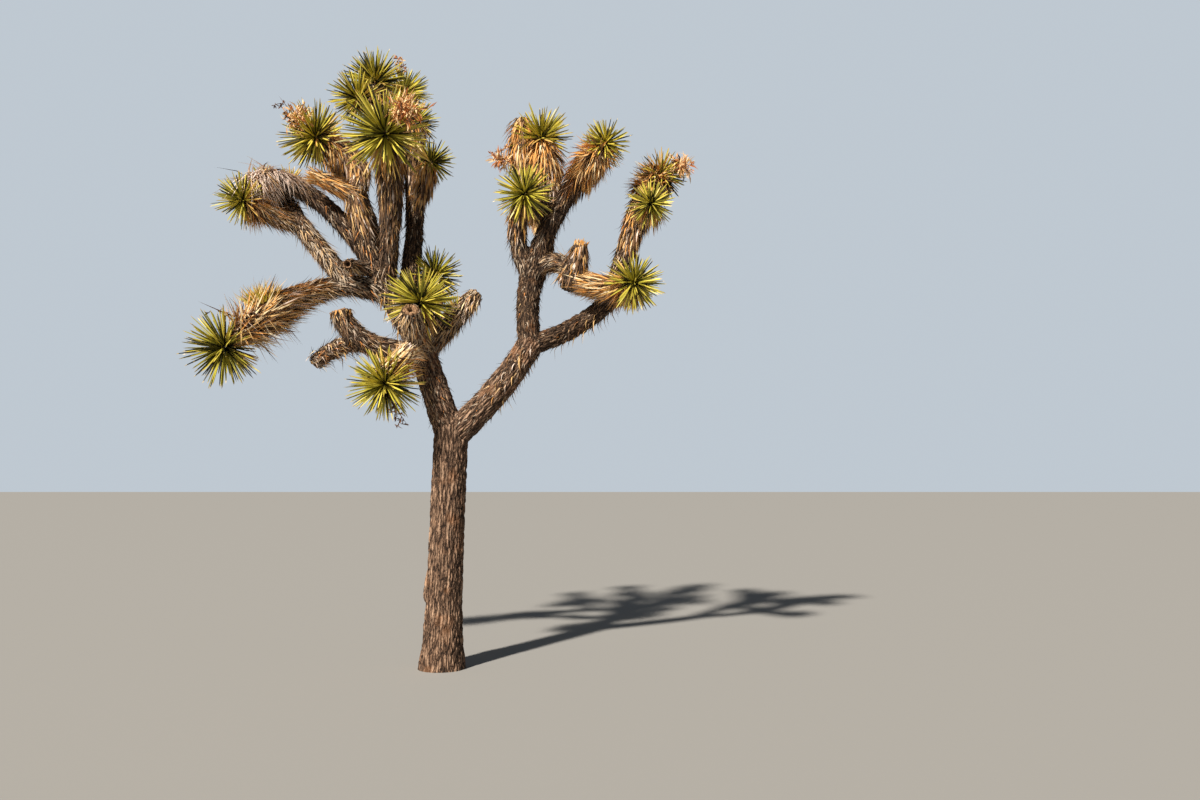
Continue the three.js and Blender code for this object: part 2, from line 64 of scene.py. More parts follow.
# A limb's line is a curve from its parent, at a share of the parent's length, to its own tip. The
# bow moves the curve's middle, the radii are those of its start and tip, and the skirt is where
# its dead leaves begin and how thick they lie. A stub keeps its width nearly to its end.
Limb = namedtuple("Limb", "parent at tip bow radii skirt end", defaults=(None, ""))
LIMBS = {
    "trunk": (None, 0, (0.055, 0, FORK_HEIGHT), (-0.005, 0, 0), (0.156, 0.156)),
    # The left bough and what grows from it.
    "left_bough": ("trunk", 0.95, (-0.245, 0.03, 2.92), (-0.02, 0.005, 0.035), (0.138, 0.116)),
    "west_bough": ("left_bough", 0.96, (-0.655, 0, 3.615), (0.005, 0.005, -0.035), (0.116, 0.098)),
    "far_left_limb": ("west_bough", 0.67, (-1.885, -0.28, 2.855), (0.025, 0.035, 0.29),
        (0.102, 0.076), (0.45, 0.084)),
    "hollow_stub": ("west_bough", 0.96, (-0.84, -0.34, 3.57), (-0.05, 0.06, 0.02),
        (0.066, 0.052), None, "stub"),
    "pale_limb": ("far_left_limb", 0.29, (-1.37, -0.12, 4.035), (-0.01, -0.015, 0.005), (0.096, 0.082)),
    "left_arm": ("pale_limb", 0.93, (-1.76, -0.3, 4.15), (-0.015, 0.01, -0.02),
        (0.08, 0.058), (0.2, 0.026)),
    "up_arm": ("pale_limb", 0.96, (-1.91, 0.5, 4.545), (0.05, 0.03, 0), (0.072, 0.058), (0.3, 0.026)),
    "dark_limb": ("west_bough", 0.97, (-1.81, -0.15, 4.325), (-0.06, 0.045, 0.34),
        (0.092, 0.066), (0.5, 0.05), "stub"),
    "mid_limb": ("west_bough", 0.97, (-0.865, -0.15, 4.305), (-0.02, -0.005, 0.03), (0.094, 0.084)),
    "orange_stub": ("mid_limb", 0.92, (-1.18, -0.3, 4.385), (0, -0.01, 0.005), (0.088, 0.044)),
    "mid_arm": ("mid_limb", 0.94, (-1.25, 0.1, 4.89), (0.185, 0.015, 0.01),
        (0.084, 0.058), (0.2, 0.036)),
    "rear_upper_limb": ("west_bough", 0.97, (-1.42, 0.75, 5.09), (0.11, 0.005, 0.04),
        (0.084, 0.058), (0.5, 0.03)),
    "front_limb": ("west_bough", 0.81, (-0.48, -0.5, 4.66), (0.03, 0.045, 0.09),
        (0.092, 0.068), (0.4, 0.036)),
    "back_limb": ("west_bough", 0.44, (-0.57, 0.5, 5.475), (0.12, 0.02, 0.02),
        (0.098, 0.058), (0.45, 0.03)),
    "back_arm": ("back_limb", 0.66, (-0.44, 0.35, 5.13), (0.055, -0.055, 0),
        (0.062, 0.052), (0.3, 0.026)),
    "side_arm": ("back_limb", 0.48, (-0.23, 0.1, 4.65), (0.04, -0.065, -0.035),
        (0.064, 0.052), (0.3, 0.03)),
    "top_limb": ("front_limb", 0.39, (-0.745, 0.15, 5.43), (-0.02, 0.05, 0.05),
        (0.074, 0.058), (0.5, 0.026)),
    "top_arm": ("top_limb", 0.7, (-0.805, -0.1, 5.17), (0.005, -0.02, -0.01), (0.058, 0.052)),
    "inner_limb": ("left_bough", 0.98, (-0.185, -0.3, 3.2), (0.01, -0.065, -0.035),
        (0.076, 0.058), (0.3, 0.024)),
    "inner_arm": ("left_bough", 0.98, (-0.175, 0.2, 3.545), (0.02, 0.035, 0.025),
        (0.076, 0.058), (0.4, 0.03)),
    "front_stub": ("left_bough", 0.91, (-0.225, -0.55, 3.125), (-0.015, -0.07, 0.01),
        (0.11, 0.08), None, "stub"),
    "left_stub": ("left_bough", 0.88, (-0.92, -0.25, 3.175), (-0.135, -0.04, -0.095), (0.095, 0.094)),
    "lower_stub": ("left_stub", 0.43, (-1.23, 0.05, 2.72), (-0.03, 0.04, 0.085), (0.08, 0.068)),
    "right_stub": ("left_bough", 0.88, (0.245, 0.2, 3.42), (0.01, 0.005, 0.015),
        (0.106, 0.074), None, "stub"),
    "drooping_arm": ("left_bough", 0.88, (-0.43, -0.45, 2.515), (0.035, -0.07, 0.12),
        (0.084, 0.058), (0.25, 0.036)),
    "rear_left_limb": ("left_bough", 0.98, (-0.38, 0.85, 3.53), (0.06, -0.04, -0.065),
        (0.084, 0.058), (0.5, 0.03)),
    # The right bough and what grows from it.
    "right_bough": ("trunk", 0.95, (0.775, -0.05, 2.915), (0.07, -0.005, 0.01), (0.136, 0.116)),
    "inner_bough": ("right_bough", 0.98, (0.8, -0.02, 3.645), (-0.04, 0.005, 0.01), (0.104, 0.11)),
    "left_prong": ("inner_bough", 0.86, (0.715, -0.22, 4.215), (-0.098, 0.07, -0.015),
        (0.088, 0.068), (0.6, 0.03)),
    "right_prong": ("inner_bough", 0.93, (1.43, -0.2, 4.69), (-0.102, 0.06, -0.015),
        (0.094, 0.076), (0.66, 0.06)),
    "crest_limb": ("right_prong", 0.5, (0.845, 0.1, 4.855), (0.005, 0.005, -0.05),
        (0.084, 0.058), (0.3, 0.056)),
    "dry_limb": ("right_prong", 0.44, (0.66, 0.12, 5.095), (-0.085, 0.08, -0.1),
        (0.068, 0.056), (0.35, 0.064)),
    "perch_limb": ("inner_bough", 0.9, (1.165, -0.12, 3.455), (0.05, 0.01, 0.14), (0.078, 0.084)),
    "perch_stub": ("perch_limb", 0.95, (1.23, -0.16, 3.8), (0, -0.015, -0.01), (0.142, 0.058)),
    "perch_arm": ("perch_limb", 0.95, (1.68, -0.33, 3.39), (0.015, 0, -0.05),
        (0.092, 0.058), (0.1, 0.03)),
    "outer_bough": ("right_bough", 0.96, (1.55, 0.08, 3.415), (0.085, 0.015, -0.04), (0.094, 0.084)),
    "outer_limb": ("outer_bough", 0.97, (1.965, 0.18, 4.59), (-0.055, 0.02, -0.025),
        (0.094, 0.066), (0.4, 0.046)),
    "outer_arm": ("outer_limb", 0.66, (1.86, -0.13, 4.165), (0.015, -0.045, -0.03),
        (0.06, 0.052), (0.2, 0.02)),
    "rear_outer_limb": ("outer_bough", 0.8, (1.735, 0.75, 3.57), (0.025, -0.005, 0.05),
        (0.074, 0.056), (0.5, 0.03)),
    "rear_right_limb": ("inner_bough", 0.66, (0.7, 0.85, 4.56), (0.145, -0.06, -0.025),
        (0.084, 0.058), (0.5, 0.03)),
}
LIMBS = {name: Limb(*values) for name, values in LIMBS.items()}
BOUGHS = ("left_bough", "right_bough")
MAIN_WOOD = ("trunk", *BOUGHS)
FUSED_STUBS = ("hollow_stub", "orange_stub", "lower_stub", "perch_stub")  # one with their limb
BROKEN_ENDS = ("hollow_stub", "orange_stub", "front_stub", "left_stub", "lower_stub",
               "right_stub", "perch_stub", "dark_limb")


def unit(v):
    return v / np.linalg.norm(v, axis=-1, keepdims=True)


limb_ends = {}


def limb_line(name):
    """Start, control point and tip of the curve a limb follows."""
    if name not in limb_ends:
        limb = LIMBS[name]
        start = limb_point(limb.parent, limb.at) if limb.parent else np.zeros(3)
        tip = np.array(limb.tip, float)
        limb_ends[name] = start, (start + tip) / 2 + 2 * np.array(limb.bow), tip
    return limb_ends[name]


def limb_point(name, share):
    start, control, tip = limb_line(name)
    s = np.asarray(share, float)[..., None]
    return (1 - s) ** 2 * start + 2 * s * (1 - s) * control + s * s * tip


def limb_way(name, share):
    """Unit direction of growth at a share of the limb's length."""
    start, control, tip = limb_line(name)
    s = np.asarray(share, float)[..., None]
    return unit((1 - s) * (control - start) + s * (tip - control))


def limb_length(name):
    path = limb_point(name, np.linspace(0, 1, 30))
    return float(np.linalg.norm(np.diff(path, axis=0), axis=1).sum())


def smooth_step(x, low, high):
    x = np.clip((x - low) / (high - low), 0, 1)
    return x * x * (3 - 2 * x)


STUB_TAPER = 2.5  # the higher, the later a stub thins
SKIRT_RISE, SKIRT_TOP = 0.35, 0.84  # shares of its limb over which a skirt thickens and ends


def limb_radius(name, share, bare=0.0):
    """The limb's radius with its skirt. Bare leaves that share of the skirt's thickness out."""
    first, last = LIMBS[name].radii
    s = np.asarray(share, float)
    radius = first + (last - first) * (s ** STUB_TAPER if LIMBS[name].end == "stub" else s)
    if name == "trunk":
        return radius + (FOOT_RADIUS - first) * np.exp(-s * FORK_HEIGHT / FLARE_HEIGHT)
    if LIMBS[name].skirt:
        start, thick = LIMBS[name].skirt
        grown = smooth_step(s, start, start + SKIRT_RISE) * (1 - smooth_step(s, SKIRT_TOP, 1))
        radius = bare * (first + (last - first) * s) + (1 - bare) * (radius + thick * grown)
    return radius


def limb_frame(name, share):
    """Direction of growth and two sideways directions that turn smoothly along the limb."""
    way = limb_way(name, share)
    start, _, tip = limb_line(name)
    across = np.eye(3)[int(np.argmin(np.abs(tip - start)))]
    side = unit(across - way * (way @ across)[..., None])
    return way, side, np.cross(way, side)


KNUCKLE, KNUCKLE_SIZE = 0.8, 0.6  # how deep in its parent a limb starts, and how wide
CROTCH_REACH, CROTCH_SIZE = 0.4, 0.7  # how far a bough runs on into its crotch, and how wide
BREAK_FROM, BREAK_TAPER = 0.9, 0.22  # where along its limb a broken end narrows, and how much
TRUNK_ROOT = (0, 0, -0.05)  # the trunk's tube starts below its flat cut


def limb_tubes(piece, names, bare=0.0):
    """One object of rounded tubes round the limbs' lines."""
    bpy.ops.object.select_all(action="DESELECT")
    for name in names:
        curve = bpy.data.curves.new(name, "CURVE")
        curve.dimensions = "3D"
        curve.bevel_depth = 1.0
        curve.bevel_resolution = 7
        curve.use_fill_caps = True
        share = np.linspace(0, 1, 22)
        path = limb_point(name, share)
        radius = limb_radius(name, share, bare)
        if name in BROKEN_ENDS:
            radius = radius * (1 - BREAK_TAPER * smooth_step(share, BREAK_FROM, 1.0))
        if name == "trunk":
            path = np.vstack([TRUNK_ROOT, path])
            radius = np.append(radius[0], radius)
        else:
            path = np.vstack([path[0] - limb_way(name, 0.0) * radius[0] * KNUCKLE, path])
            radius = np.append(radius[0] * KNUCKLE_SIZE, radius)
        if name in BOUGHS:
            path = np.vstack([path, path[-1] + limb_way(name, 1.0) * (CROTCH_REACH * radius[-1])])
            radius = np.append(radius, CROTCH_SIZE * radius[-1])
        spline = curve.splines.new("POLY")
        spline.points.add(len(path) - 1)
        for point, place, size in zip(spline.points, path, radius):
            point.co = (*place, 1)
            point.radius = size
        tube = bpy.data.objects.new(name, curve)
        bpy.context.collection.objects.link(tube)
        tube.select_set(True)
        bpy.context.view_layer.objects.active = tube
    bpy.ops.object.convert(target="MESH")
    bpy.ops.object.join()
    wood = bpy.context.object
    wood.name = wood.data.name = piece
    return wood


def merge_tubes(wood, voxel, rounds):
    """Grows the tubes together into one skin with rounded crotches."""
    wood.data.remesh_voxel_size = voxel
    bpy.ops.object.voxel_remesh()
    bpy.ops.object.mode_set(mode="EDIT")
    bpy.ops.mesh.select_all(action="SELECT")
    bpy.ops.mesh.vertices_smooth(factor=0.5, repeat=rounds)
    bpy.ops.object.mode_set(mode="OBJECT")


def vertex_values(mesh, what):
    values = np.empty(len(mesh.vertices) * 3, np.float32)
    mesh.vertices.foreach_get(what, values)
    return values.reshape(-1, 3).astype(float)


PATTERN_STEP = 3.1  # metres between two limbs' stretches of the bark's pattern


def straightened(places, names):
    """For each place: its limb, the share along it, and the place as if that limb stood straight
    and upright, so that the bark's grain can follow the limb."""
    shares = np.linspace(0, 1, 36)
    best = np.full(len(places), np.inf)
    limb = np.zeros(len(places), int)
    share = np.zeros(len(places))
    grain = np.zeros((len(places), 3))
    for number, name in enumerate(names):
        way, side, front = limb_frame(name, shares)
        middle, radius = limb_point(name, shares), limb_radius(name, shares)
        length = limb_length(name)
        for i in range(len(shares)):
            off = places - middle[i]
            gap = np.linalg.norm(off, axis=1) - radius[i]
            near = gap < best
            best[near] = gap[near]
            limb[near] = number
            step = off[near] @ way[i]
            share[near] = shares[i] + step / length
            grain[near] = np.column_stack([
                off[near] @ side[i] + PATTERN_STEP * number, off[near] @ front[i],
                shares[i] * length + step])
    return limb, share, grain


PLATE_WAVE = 0.55  # how far a plate's outline wanders, in plate widths
WAVE_SCALE, ROUGH_SCALE = (0.7, 0.5), (2.2, 1.6)  # per plate, across and along the limb
ROUGH_OCTAVES = (0.8, 2.1, 3)  # their fall, their step and their number
FISSURE_SLOPE = 2.4  # how steeply a plate rises from its fissure


def bark_relief(grain, width, stretch):
    """Height from 0 in a fissure to 1 on a plate, for long plates that lie along the limb, and
    the finer roughness of the bark."""
    scaled = grain / (width, width, width * stretch)
    (wave_x, wave_z), (rough_x, rough_z) = WAVE_SCALE, ROUGH_SCALE
    height = np.empty(len(grain))
    rough = np.empty(len(grain))
    for i, (x, y, z) in enumerate(scaled.tolist()):
        wave = PLATE_WAVE * noise.noise((wave_x * x, wave_x * y, wave_z * z))
        near = noise.voronoi((x + wave, y - wave, z))[0]
        height[i] = min(1.0, FISSURE_SLOPE * (near[1] - near[0]))
        rough[i] = noise.fractal((rough_x * x, rough_x * y, rough_z * z), *ROUGH_OCTAVES)
    return height, rough


PLATE_LEVEL = 0.8  # the height of the bark that keeps a limb's own radius
BREAK_EDGE = (-0.018, -0.004)  # metres from its tip where a broken end turns from bark to raw
BREAK_SMOOTHING, BREAK_FIBRES = 0.6, 0.012  # share of the relief lost there, and the raw fibres
HOLE_SHARE = {"hollow_stub": 0.62}  # a hollow's radius, as a share of its broken end's
PLAIN_HOLE_SHARE, HOLE_FLOOR, HOLE_DEPTH = 0.42, 0.4, 0.9  # of other ends, and of every hollow
FLAP_FOOT, FLAP_HEIGHT, FLAP_LIFT = 0.58, 0.3, 0.045  # a torn plate on the trunk's left side
FOOT_BAND, FOOT_RELIEF = 0.02, 0.3  # the relief fades where the trunk meets its flat cut


def carve_bark(wood, names, width, stretch, depth, roughness):
    """Presses the bark's fissures into the skin, breaks the stubs' ends open, and keeps what the
    material needs."""
    mesh = wood.data
    places, normals = vertex_values(mesh, "co"), vertex_values(mesh, "normal")
    limb, share, grain = straightened(places, names)
    height, rough = bark_relief(grain, width, stretch)
    lift = depth * (height - PLATE_LEVEL) + roughness * rough
    cut = np.zeros(len(places))
    hollow = np.zeros(len(places))
    for number, name in enumerate(names):
        if name not in BROKEN_ENDS:
            continue
        way, middle = limb_way(name, 1.0), limb_point(name, 1.0)
        radius = float(limb_radius(name, 1.0))
        own = np.flatnonzero((limb == number) & (share > BREAK_FROM))
        off = places[own] - middle
        along = off @ way
        out = np.linalg.norm(off - along[:, None] * way, axis=1)
        flat = smooth_step(along, *BREAK_EDGE)
        cut[own] = flat
        wide = HOLE_SHARE.get(name, PLAIN_HOLE_SHARE) * radius
        hole = flat * (1 - smooth_step(out, HOLE_FLOOR * wide, wide))
        hollow[own] = hole
        lift[own] *= 1 - BREAK_SMOOTHING * flat
        places[own] -= (hole * HOLE_DEPTH * radius)[:, None] * way
        places[own] += (flat * BREAK_FIBRES * rough[own])[:, None] * way
    if "trunk" in names:
        level = np.clip((places[:, 2] - FLAP_FOOT) / FLAP_HEIGHT, 0, 1)
        flap = level ** 0.3 * (1 - level)
        faces_left = np.clip(-normals[:, 0] * 4 - 2.8, 0, 1) * (places[:, 0] < 0)
        lift += FLAP_LIFT * flap * faces_left
    lift[places[:, 2] < FOOT_BAND] *= FOOT_RELIEF
    places += normals * lift[:, None]
    places[:, 2] = np.maximum(places[:, 2], 0)
    mesh.vertices.foreach_set("co", places.astype(np.float32).ravel())
    for label, values in (("relief", height), ("cut", cut), ("hollow", hollow)):
        kept = mesh.attributes.new(label, "FLOAT", "POINT")
        kept.data.foreach_set("value", values.astype(np.float32))
    kept = mesh.attributes.new("grain", "FLOAT_VECTOR", "POINT")
    kept.data.foreach_set("vector", grain.astype(np.float32).ravel())
    mesh.shade_smooth()
    mesh.update()


def colour(red, green, blue):
    """A colour as it is read off a picture, 0 to 255, in linear light."""
    return tuple(((c / 255 + 0.055) / 1.055) ** 2.4 if c > 10 else c / 3294.6
                 for c in (red, green, blue)) + (1.0,)


def grey(value):
    return (value, value, value, 1)


TEARS_PER_METRE = 34
TEAR_REACH = (0.026, 0.026, 0.06)  # metres that they shift a plate's outline
FIBRE_SQUASH = (1, 1, 0.12)  # fibres run about eight times as far as they are wide


def add_node(nodes, kind, values=(), **settings):
    """A shader node with its settings, and the values of its inputs by name or number."""
    node = nodes.new("ShaderNode" + kind)
    for setting, value in settings.items():
        setattr(node, setting, value)
    for socket, value in dict(values).items():
        node.inputs[socket].default_value = value
    return node


def fibre_group():
    """Small bark plates, long fibres and wide patches that follow a limb's grain."""
    group = bpy.data.node_groups.new("limb_fibres", "ShaderNodeTree")
    sockets = group.interface
    sockets.new_socket("Grain", in_out="INPUT", socket_type="NodeSocketVector")
    for label in ("Plates per metre", "Plate squash", "Fibres per metre", "Patches per metre"):
        sockets.new_socket(label, in_out="INPUT", socket_type="NodeSocketFloat")
    for label in ("Plates", "Fibres", "Patches"):
        sockets.new_socket(label, in_out="OUTPUT", socket_type="NodeSocketFloat")
    nodes, links = group.nodes, group.links
    given, out = nodes.new("NodeGroupInput"), nodes.new("NodeGroupOutput")
    ragged = add_node(nodes, "TexNoise", {"Scale": TEARS_PER_METRE, "Detail": 4})
    torn = add_node(nodes, "VectorMath", {1: TEAR_REACH}, operation="MULTIPLY_ADD")
    squash = add_node(nodes, "CombineXYZ", {"X": 1, "Y": 1})
    long = add_node(nodes, "VectorMath", operation="MULTIPLY")
    plates = add_node(nodes, "TexVoronoi", feature="DISTANCE_TO_EDGE")
    drawn = add_node(nodes, "VectorMath", {1: FIBRE_SQUASH}, operation="MULTIPLY")
    fibres = add_node(nodes, "TexNoise", {"Detail": 5, "Roughness": 0.65})
    patches = add_node(nodes, "TexNoise", {"Detail": 3})
    grain = given.outputs["Grain"]
    for source, target in (
        (grain, ragged.inputs["Vector"]), (ragged.outputs["Color"], torn.inputs[0]),
        (grain, torn.inputs[2]), (torn.outputs[0], long.inputs[0]),
        (given.outputs["Plate squash"], squash.inputs["Z"]), (squash.outputs["Vector"], long.inputs[1]),
        (long.outputs[0], plates.inputs["Vector"]),
        (given.outputs["Plates per metre"], plates.inputs["Scale"]),
        (plates.outputs["Distance"], out.inputs["Plates"]), (grain, drawn.inputs[0]),
        (drawn.outputs[0], fibres.inputs["Vector"]), (grain, patches.inputs["Vector"]),
        (given.outputs["Fibres per metre"], fibres.inputs["Scale"]),
        (given.outputs["Patches per metre"], patches.inputs["Scale"]),
        (fibres.outputs["Fac"], out.inputs["Fibres"]), (patches.outputs["Fac"], out.inputs["Patches"]),
    ):
        links.new(source, target)
    return group


limb_fibres = fibre_group()
PATCHES_PER_METRE = 4.5
RAW_DARK, RAW_PALE, HOLLOW_BROWN = colour(114, 82, 60), colour(210, 168, 128), colour(38, 26, 20)


def bark_material(name, fissure, flank, plate, tint, plates_per_metre, squash, fibres_per_metre):
    """Corky bark: dark in its fissures, paler on its plates, with fibres along the limb and tinted
    patches. Broken ends show raw orange-tan fibre round a dark hollow."""
    material = bpy.data.materials.new(name)
    material.use_nodes = True
    nodes, links = material.node_tree.nodes, material.node_tree.links
    shader = nodes["Principled BSDF"]
    shader.inputs["Specular IOR Level"].default_value = 0.25

    def given(label, kind="Fac"):
        return add_node(nodes, "Attribute", attribute_name=label).outputs[kind]

    def mix(factor, first, second, kind="MIX"):
        node = add_node(nodes, "Mix", data_type="RGBA", blend_type=kind)
        sockets = node.inputs["Factor"], node.inputs[6], node.inputs[7]
        for socket, value in zip(sockets, (factor, first, second)):
            if hasattr(value, "is_output"):
                links.new(value, socket)
            else:
                socket.default_value = value
        return node.outputs[2]

    def ramp(value, *stops):
        node = add_node(nodes, "ValToRGB")
        elements = node.color_ramp.elements
        while len(elements) < len(stops):
            elements.new(0.5)
        for element, (place, shade) in zip(elements, stops):
            element.position = place
            element.color = shade
        links.new(value, node.inputs["Fac"])
        return node.outputs["Color"]

    grain = add_node(nodes, "Group", node_tree=limb_fibres)
    for label, value in (("Plates", plates_per_metre), ("Fibres", fibres_per_metre),
                         ("Patches", PATCHES_PER_METRE)):
        grain.inputs[f"{label} per metre"].default_value = value
    grain.inputs["Plate squash"].default_value = squash
    links.new(given("grain", "Vector"), grain.inputs["Grain"])
    plates, fibres, patches = grain.outputs
    bark = ramp(plates, (0.01, fissure), (0.11, flank), (0.4, plate))
    # Painted shade: the bark's colour is darkened down into the carved fissures by their depth, and
    # lifted a little on the plates' tops.
    deep = ramp(given("relief"), (0.0, (0.42, 0.4, 0.38, 1)), (0.35, grey(0.85)), (1.0, grey(1.1)))
    bark = mix(1.0, bark, deep, "MULTIPLY")
    lines = ramp(fibres, (0.3, grey(0.5)), (0.68, (1.3, 1.27, 1.22, 1)))
    bark = mix(0.85, bark, lines, "MULTIPLY")
    bark = mix(ramp(patches, (0.56, grey(0)), (0.76, grey(0.45))), bark, tint)
    raw = mix(ramp(fibres, (0.35, grey(0)), (0.7, grey(1))), RAW_DARK, RAW_PALE)
    bark = mix(given("cut"), bark, raw)
    bark = mix(given("hollow"), bark, HOLLOW_BROWN)
    links.new(bark, shader.inputs["Base Color"])
    rough = add_node(nodes, "MapRange", {"To Min": 0.98, "To Max": 0.78})
    links.new(fibres, rough.inputs["Value"])
    links.new(rough.outputs["Result"], shader.inputs["Roughness"])
    ridges = ramp(plates, (0.0, grey(0)), (0.25, grey(0.8)), (0.6, grey(1)))
    height = mix(0.35, ridges, fibres)
    bump = add_node(nodes, "Bump", {"Strength": 1.0, "Distance": 0.014})
    links.new(height, bump.inputs["Height"])
    links.new(bump.outputs["Normal"], shader.inputs["Normal"])
    return material


trunk_bark = limb_tubes("trunk_bark", MAIN_WOOD)
merge_tubes(trunk_bark, voxel=0.0078, rounds=5)
carve_bark(trunk_bark, MAIN_WOOD, width=0.027, stretch=5.0, depth=0.012, roughness=0.005)
trunk_bark.data.materials.append(bark_material(
    "corky_bark", fissure=colour(40, 29, 23), flank=colour(122, 95, 77), plate=colour(184, 153, 129),
    tint=colour(176, 124, 86), plates_per_metre=40, squash=0.11, fibres_per_metre=110))
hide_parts(*MAIN_WOOD)
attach(trunk_bark, "root")


# Old limbs and broken stubs: the same corky bark in shorter, flakier plates. They grew out of
# the main boughs, and where a limb has died back its end is an open, fibrous, rounded break.
OLD_WOOD = [name for name, limb in LIMBS.items()
            if limb.skirt is None and name != "top_arm" and name not in MAIN_WOOD]
limb_bark = limb_tubes("limb_bark", OLD_WOOD)
merge_tubes(limb_bark, voxel=0.0088, rounds=4)
carve_bark(limb_bark, OLD_WOOD, width=0.032, stretch=2.6, depth=0.014, roughness=0.008)
# Its colours are set darker than the trunk's, partly as painted shade for the shade that these limbs lie
# in.
limb_bark.data.materials.append(bark_material(
    "flaky_bark", fissure=colour(27, 19, 14), flank=colour(86, 66, 51), plate=colour(144, 119, 97),
    tint=colour(150, 100, 62), plates_per_metre=50, squash=0.16, fibres_per_metre=80))
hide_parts(*[name for name in OLD_WOOD if name not in FUSED_STUBS])
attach(limb_bark, "root")


# Younger limbs: the same wood, still wrapped in last years' dead leaves, so that only the
# brown leaf bases show between them. They grew from the boughs and carry the living heads.
YOUNG_WOOD = [name for name in LIMBS if name not in OLD_WOOD and name not in MAIN_WOOD]
UNDER_LEAVES = 0.6  # share of a skirt's thickness that is leaves and not limb
young_bark = limb_tubes("young_bark", YOUNG_WOOD, bare=UNDER_LEAVES)
merge_tubes(young_bark, voxel=0.0138, rounds=3)
carve_bark(young_bark, YOUNG_WOOD, width=0.034, stretch=1.9, depth=0.014, roughness=0.006)
# Its colours are set darker than the trunk's, partly as painted shade for the shade that these limbs lie
# in.
young_bark.data.materials.append(bark_material(
    "leaf_base_bark", fissure=colour(24, 17, 12), flank=colour(76, 57, 43), plate=colour(126, 101, 80),
    tint=colour(136, 92, 58), plates_per_metre=52, squash=0.2, fibres_per_metre=80))
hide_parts(*YOUNG_WOOD)
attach(young_bark, "root")


# Bristles: the broken bases of dead leaves, tough and fibrous. They lie back along every limb
# above the fork, short and grey-brown on old wood, longer and browner towards the heads.
GOLDEN_ANGLE = math.pi * (3 - math.sqrt(5))
SINK = 0.93  # leaves are rooted at this share of a limb's radius
RING_JITTER = 0.5  # radians
chance = np.random.default_rng(11)


def on_limb(name, count, first, last, bare):
    """Places all round a limb, with the outward direction and the direction of growth there."""
    share = first + (last - first) * (np.arange(count) + chance.random(count)) / count
    turn = np.arange(count) * GOLDEN_ANGLE + RING_JITTER * chance.random(count)
    way, side, front = limb_frame(name, share)
    out = side * np.cos(turn)[:, None] + front * np.sin(turn)[:, None]
    radius = limb_radius(name, share, bare)
    return limb_point(name, share) + out * (SINK * radius)[:, None], out, way, share


# Blades are gathered limb by limb as arrays: where each is rooted, its direction of growth, the
# direction of its width, its size, how far its tip bends to its upper face, and its shade.
BLADE_VALUES = ("root", "way", "side", "length", "width", "bend", "shade")
CHANNEL = 0.12  # the edges stand this share of the width above a blade's middle
KEEL, KEEL_GAIN = 0.3, 0.7  # share of the thickness where a blade is narrow, and what width adds


def no_blades():
    return {label: [] for label in BLADE_VALUES}


def add_blades(gathered, **values):
    for label in BLADE_VALUES:
        gathered[label].append(values[label])


def blades(name, gathered, thickness, stations, materials, tip_shade=None):
    """One mesh of closed three-sided blades. Thickness is a share of the width, and stations are
    (share of the length, share of the width) of the rings between the root and the tip."""
    root, way, side, length, width, bend, shade = (
        np.concatenate(gathered[label]) for label in BLADE_VALUES)
    count, rings, thick = len(root), len(stations), thickness * width
    up = np.cross(side, way)
    corners = np.empty((count, 3 * rings + 1, 3))
    for ring, (share, wide) in enumerate(stations):
        middle = root + way * (length * share)[:, None] + up * (bend * length * share ** 2)[:, None]
        half = side * (0.5 * width * wide)[:, None]
        lift = up * (CHANNEL * width * wide)[:, None]
        corners[:, 3 * ring] = middle - half + lift
        corners[:, 3 * ring + 1] = middle + half + lift
        corners[:, 3 * ring + 2] = middle - up * (thick * (KEEL + KEEL_GAIN * wide))[:, None]
    corners[:, -1] = root + way * length[:, None] + up * (bend * length)[:, None]
    sides = ((0, 1), (1, 2), (2, 0))
    faces = [(0, 2, 1)]
    for ring in range(rings - 1):
        a, b = 3 * ring, 3 * ring + 3
        faces += [(a + i, a + j, b + j, b + i) for i, j in sides]
    last = 3 * rings - 3
    faces += [(last + i, last + j, 3 * rings) for i, j in sides]
    per = 3 * rings + 1
    every = [tuple(per * blade + c for c in face) for blade in range(count) for face in faces]
    mesh = bpy.data.meshes.new(name)
    mesh.from_pydata(corners.reshape(-1, 3).tolist(), [], every)
    slots = np.repeat(shade[:, None], len(faces), axis=1)
    if tip_shade is not None:
        slots[:, -len(sides):] = tip_shade
    mesh.polygons.foreach_set("material_index", slots.astype(np.int32).ravel())
    for material in materials:
        mesh.materials.append(material)
    mesh.update()
    piece = bpy.data.objects.new(name, mesh)
    bpy.context.collection.objects.link(piece)
    return piece


def plain_paint(name, shade, roughness):
    material = bpy.data.materials.new(name)
    material.use_nodes = True
    shader = material.node_tree.nodes["Principled BSDF"]
    shader.inputs["Base Color"].default_value = shade
    shader.inputs["Roughness"].default_value = roughness
    return material


def leaf_shades(kind, roughness, *shades):
    return [plain_paint(f"{kind}_{label}", colour(*shade), roughness) for label, shade in shades]


def facing(way, out):
    """A side direction for blades that show their upper face outwards."""
    return unit(np.cross(way, out) + 1e-6)


